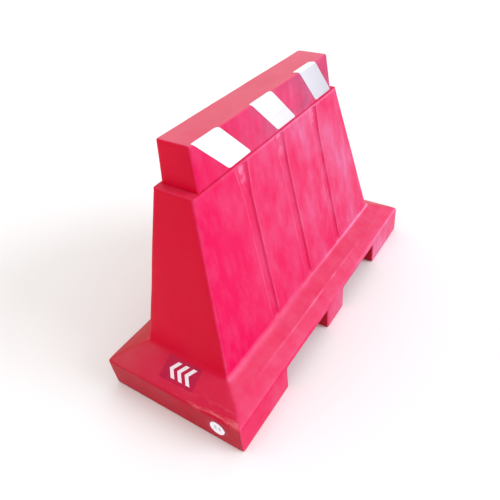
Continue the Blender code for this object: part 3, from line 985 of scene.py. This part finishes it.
        # Painted highlights along the convex edges, stronger on the sides facing the key light.
        edges = self.span(self.pointiness, 0.510, 0.560)
        uneven = self.span(self.noise(26.0, 4.0, 0.7, offset=5.0), 0.34, 0.60, 0.25, 1.0)
        self.lay(self.times(edges, uneven, self.span(self.facing_key, 0.0, 1.0, 0.10, 0.34)), EDGE_HIGHLIGHT)
        # Painted shade in the corners and creases.
        corners = self.span(self.pointiness, 0.492, 0.450)
        self.lay(self.times(corners, 0.62), CORNER_SHADE)

    def lay_grooves(self):
        """Painted shade along both edges of each groove, painted highlights beside it and in its head.
        Places across a groove are shares of its half width."""
        off = 1.0
        for foot, head in GROOVES:
            middle = self.by_height(BODY_FOOT[0], SHOULDER, foot, head)
            off = self.math("MINIMUM", self.away(self.along, middle), off)
        widening = self.by_height(SHOULDER - 0.09, SHOULDER - 0.01, 1.0, 1.0 + GROOVE_FLARE)
        off = self.math("DIVIDE", off, self.times(widening, GROOVE_HALF_WIDTH))
        grooved = self.times(self.by_height(BODY_FOOT[0], BODY_FOOT[0] + 0.03), self.facing_key)
        grooved = self.times(grooved, self.by_height(SHOULDER - 0.003, SHOULDER - 0.012))
        # Painted shade along both edges of each groove.
        line = self.times(self.span(off, 0.72, 0.82), self.span(off, 1.02, 0.92))
        self.lay(self.times(line, self.patchy, grooved, 0.42), GROOVE_SHADE)
        # Painted highlights beside each groove and in blots in its head.
        beside = self.times(self.span(off, 1.02, 1.08), self.span(off, 1.26, 1.14), self.patchy)
        blots = self.span(self.noise(30.0, 3.0, offset=27.0), 0.46, 0.62, 0.0, 2.2)
        inside = self.times(self.span(off, 0.60, 0.30), self.by_height(0.520, 0.575), blots)
        self.lay(self.times(self.math("ADD", beside, inside), grooved, 0.14), GROOVE_HIGHLIGHT)

    def lay_chalk_and_highlights(self):
        """Painted highlights on the front: in the crease at the body's foot, on the shoulder's lip and
        the base's top edge, and along the slope's break; and chalk in splashes low on the feet."""
        along, height = self.along, self.height
        # Painted highlights along the crease at the body's foot, the shoulder's lip, the base's top edge
        # and the slope's break.
        foot = self.near(height, BODY_FOOT[0], 0.0010, 0.0036, self.span(along, -0.20, 0.38, 0.0, 0.50))
        soft = self.span(along, 0.10, -0.20, 0.0, 0.13)
        soft_foot = self.near(height, BODY_FOOT[0] + 0.001, 0.0020, 0.0095, soft)
        lip = self.near(height, SHOULDER - 0.0055, 0.0010, 0.0035,
                        self.span(along, -0.25, 0.10, 0.04, 0.24))
        edge = self.near(height, OUTLINE["crease"][0], 0.0012, 0.0040,
                         self.span(along, 0.10, 0.34, 0.04, 0.30))
        central = self.times(self.span(along, -0.40, -0.16), self.span(along, 0.24, 0.08, 0.15, 1.0))
        broken = self.span(self.noise(14.0, 4.0, 0.6, offset=35.0), 0.40, 0.60, 0.04, 0.30)
        break_highlight = self.near(height, OUTLINE["break"][0], 0.0005, 0.0018, self.times(central, broken))
        lines = self.times(self.most(foot, lip, edge, break_highlight, soft_foot),
                           self.span(self.patchy, 0.25, 1.0, 0.55, 1.0))
        splash = self.noise(22.0, 4.0, 0.6, stretch=(1.0, 1.0, 0.6), offset=33.0)
        splash = self.times(self.span(splash, 0.40, 0.64, 0.10, 1.0),
                            self.span(height, 0.088, 0.030, 0.0, 0.17),
                            self.span(along, -0.30, 0.25, 0.35, 1.0))
        forwards = self.span(self.backward, -0.15, -0.45)
        # Laid on the faces turned forwards: the painted highlights, and chalk splashes.
        self.lay(self.times(self.most(lines, splash), forwards), CHALK_AND_HIGHLIGHT)


def red_polyethylene():
    """The tank's red plastic, with its marks laid one over another."""
    g = RedPlastic()
    g.lay_pigment_and_sheen()
    g.lay_bloom_and_sheen()
    dust_and_sheen = g.lay_dust_and_sheen()
    g.lay_painted_shade()
    scuffed = g.lay_scuffs_and_highlights()
    g.lay_edge_light_and_shade()
    g.lay_grooves()
    g.lay_chalk_and_highlights()
    rough = g.span(g.noise(13.0, 4.0, offset=2.0), 0.3, 0.7, 0.30, 0.46)
    rough = g.math("ADD", rough, g.times(scuffed, 0.14))
    rough = g.math("ADD", rough, g.times(dust_and_sheen, 0.12))
    peel = g.bump(g.noise(240.0, 2.0), 0.12, 0.0006)
    ripple = g.bump(g.noise(30.0, 3.0, offset=1.0), 0.25, 0.0035, peel)
    scratched = g.bump(g.times(scuffed, -1.0), 0.20, 0.0006, ripple)
    g.shader.inputs["Specular IOR Level"].default_value = 0.06
    return g.finish(g.colour, rough, scratched)


def white_polypropylene():
    """Moulded white plastic, a little grey where dirt lies, with painted shade in its corners."""
    g = Graph("white_moulded_polypropylene")
    dirt = g.span(g.noise(90.0, 5.0, 0.65), 0.45, 0.75)
    colour = g.blend(g.times(dirt, 0.16), (0.93, 0.92, 0.97), (0.68, 0.68, 0.75))
    # Painted shade in the corners.
    corners = g.span(g.node("ShaderNodeNewGeometry").outputs["Pointiness"], 0.50, 0.42)
    colour = g.blend(g.times(corners, 0.14), colour, (0.60, 0.60, 0.68))
    rough = g.span(g.noise(60.0), 0.3, 0.7, 0.30, 0.45)
    return g.finish(colour, rough, g.bump(g.noise(900.0, 2.0), 0.12, 0.0002))


def black_polypropylene():
    """Moulded black plastic, slightly uneven."""
    g = Graph("black_moulded_polypropylene")
    shade = g.span(g.noise(120.0, 4.0), 0.3, 0.7)
    colour = g.blend(shade, (0.022, 0.022, 0.024), (0.05, 0.05, 0.052))
    rough = g.span(g.noise(70.0), 0.3, 0.7, 0.40, 0.58)
    return g.finish(colour, rough, g.bump(g.noise(700.0, 2.0), 0.15, 0.0002))


def black_rubber():
    """Matte rubber with a grey bloom."""
    g = Graph("black_gasket_rubber")
    bloom = g.span(g.noise(150.0, 5.0, 0.7), 0.45, 0.8)
    colour = g.blend(bloom, (0.014, 0.014, 0.014), (0.06, 0.058, 0.055))
    rough = g.span(g.noise(90.0), 0.3, 0.7, 0.66, 0.86)
    return g.finish(colour, rough, g.bump(g.noise(1100.0, 2.0), 0.30, 0.0002))


def reflective_sheeting():
    """White prismatic film: a faint honeycomb under a clear glossy face, with painted shade that greys
    it towards +X, and a little dirt."""
    g = Graph("white_reflective_film")
    cells = g.node("ShaderNodeTexVoronoi", Vector=g.place, Scale=230.0, Randomness=0.12)
    cells.feature = "DISTANCE_TO_EDGE"
    seam = g.span(cells.outputs["Distance"], 0.03, 0.10)
    up = g.split(g.node("ShaderNodeNewGeometry").outputs["Normal"])[2]
    along = g.split(g.place)[0]
    # Painted shade: the sheets' upright faces grey towards +X.
    painted_shade = g.times(g.math("POWER", g.plus_x_ramp(along), 1.2), g.span(up, 0.7, 0.3))
    colour = g.blend(painted_shade, (0.86, 0.86, 0.87), (0.33, 0.33, 0.385))
    between = g.math("SUBTRACT", 1.0, seam)
    colour = g.blend(g.times(between, 0.22), colour, (0.44, 0.45, 0.52))
    dirt = g.span(g.noise(34.0, 5.0, 0.6), 0.50, 0.80)
    colour = g.blend(g.times(dirt, 0.16), colour, (0.55, 0.50, 0.54))
    g.shader.inputs["Coat Weight"].default_value = 0.35
    g.shader.inputs["Coat Roughness"].default_value = 0.12
    rough = g.span(g.noise(22.0, 3.0), 0.3, 0.7, 0.24, 0.38)
    return g.finish(colour, rough, g.bump(seam, 0.25, 0.0003))


def printed_label():
    """Dark magenta vinyl printed with plain white chevrons."""
    g = Graph("printed_vinyl_label")
    along, across, _ = g.split(g.place)
    off_middle = g.away(along, -(LABEL_REACH[0] + LABEL_REACH[1]) / 2)
    slanted = g.math("ADD", g.math("SUBTRACT", across, LABEL_MIDDLE), g.times(off_middle, CHEVRON_SLANT))
    phase = g.math("SUBTRACT", slanted, CHEVRON_START)
    positive = g.math("ADD", phase, 10 * CHEVRON_PITCH)
    stroke = g.math("LESS_THAN", g.math("MODULO", positive, CHEVRON_PITCH), CHEVRON_STROKE)
    inside = g.times(g.math("GREATER_THAN", phase, 0.0),
                     g.math("LESS_THAN", phase, CHEVRONS * CHEVRON_PITCH),
                     g.math("LESS_THAN", off_middle, CHEVRON_HALF_HEIGHT))
    worn = g.span(g.noise(120.0, 5.0, 0.7), 0.60, 0.72, 1.0, 0.55)
    mottle = g.span(g.noise(40.0, 4.0), 0.3, 0.7)
    ground = g.blend(mottle, (0.44, 0.011, 0.053), (0.50, 0.016, 0.062))
    colour = g.blend(g.times(stroke, inside, worn), ground, (0.84, 0.80, 0.86))
    g.shader.inputs["Specular IOR Level"].default_value = 0.07
    rough = g.span(g.noise(50.0), 0.3, 0.7, 0.28, 0.42)
    return g.finish(colour, rough, g.bump(g.noise(300.0, 2.0), 0.10, 0.0003))


def dress(shape, material, body, node):
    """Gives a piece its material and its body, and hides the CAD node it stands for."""
    shape.data.materials.clear()
    shape.data.materials.append(material)
    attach(shape, body)
    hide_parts(node)


# ---- the studio

def make_floor():
    bm = bmesh.new()
    bmesh.ops.create_grid(bm, x_segments=1, y_segments=1, size=12.0)
    floor = mesh_object("floor", bm)
    material = bpy.data.materials.new("pale_floor")
    material.use_nodes = True
    shader = material.node_tree.nodes["Principled BSDF"]
    shader.inputs["Base Color"].default_value = (0.90, 0.90, 0.90, 1.0)
    shader.inputs["Roughness"].default_value = 0.85
    shader.inputs["Specular IOR Level"].default_value = 0.2
    floor.data.materials.append(material)


def make_key_light():
    """A far soft light from the front."""
    data = bpy.data.lights.new("key", "SUN")
    data.angle = math.radians(KEY_SPREAD)
    data.energy = KEY_POWER
    data.color = KEY_COLOUR
    light = bpy.data.objects.new("key", data)
    bpy.context.scene.collection.objects.link(light)
    source = direction(KEY_AZIMUTH, KEY_ELEVATION)
    light.location = source * 3.0
    light.rotation_euler = (-source).to_track_quat("-Z", "Y").to_euler()


def make_studio():
    make_floor()
    world = bpy.data.worlds.new("studio")
    world.use_nodes = True
    background = world.node_tree.nodes["Background"]
    background.inputs["Color"].default_value = (1.0, 0.98, 0.96, 1.0)
    background.inputs["Strength"].default_value = 1.0
    scene = bpy.context.scene
    scene.world = world
    scene.view_settings.view_transform = "Standard"
    make_key_light()


def make_camera():
    data = bpy.data.cameras.new("camera")
    data.sensor_width = 36.0
    data.lens = CAMERA_LENS
    data.shift_x, data.shift_y = CAMERA_SHIFT
    data.clip_end = 50.0
    back = direction(CAMERA_AZIMUTH, CAMERA_ELEVATION)
    right = (-back).cross(Vector((0.0, 0.0, 1.0))).normalized()
    up = back.cross(right)
    axes = Matrix((right, up, back)).transposed()
    turn = axes @ Matrix.Rotation(math.radians(CAMERA_ROLL), 3, "Z")
    camera = bpy.data.objects.new("camera", data)
    camera.matrix_world = Matrix.Translation(CAMERA_AIM + back * CAMERA_DISTANCE) @ turn.to_4x4()
    bpy.context.scene.collection.objects.link(camera)
    bpy.context.scene.camera = camera


def main():
    make_camera()
    make_studio()

    red = red_polyethylene()
    white = white_polypropylene()
    black = black_polypropylene()
    rubber = black_rubber()
    film = reflective_sheeting()

    tank = make_tank()
    surface = BVHTree.FromPolygons([v.co.copy() for v in tank.data.vertices],
                                   [p.vertices[:] for p in tank.data.polygons])
    for name, sizes in CLOSURES.items():
        matrix = closure_matrix(f"{name}_plug_turn")
        cut_port(tank, name, sizes, matrix)
        insert = make_insert(name, sizes, matrix)
        gasket = make_gasket(name, sizes, matrix)
        plug = make_plug(name, sizes, matrix)
        for shape in (insert, gasket, plug):
            smooth(shape, 35)
        dress(insert, black, "barrier", f"{name}_insert")
        dress(gasket, rubber, f"{name}_gasket", f"{name}_gasket")
        dress(plug, white, f"{name}_plug", f"{name}_plug")
    smooth(tank, 40)
    dress(tank, red, "barrier", "barrier_shell")
    for sheet, node in make_sheets(surface):
        dress(sheet, film, "barrier", node)
    dress(make_label(surface), printed_label(), "barrier", "end_label")


main()
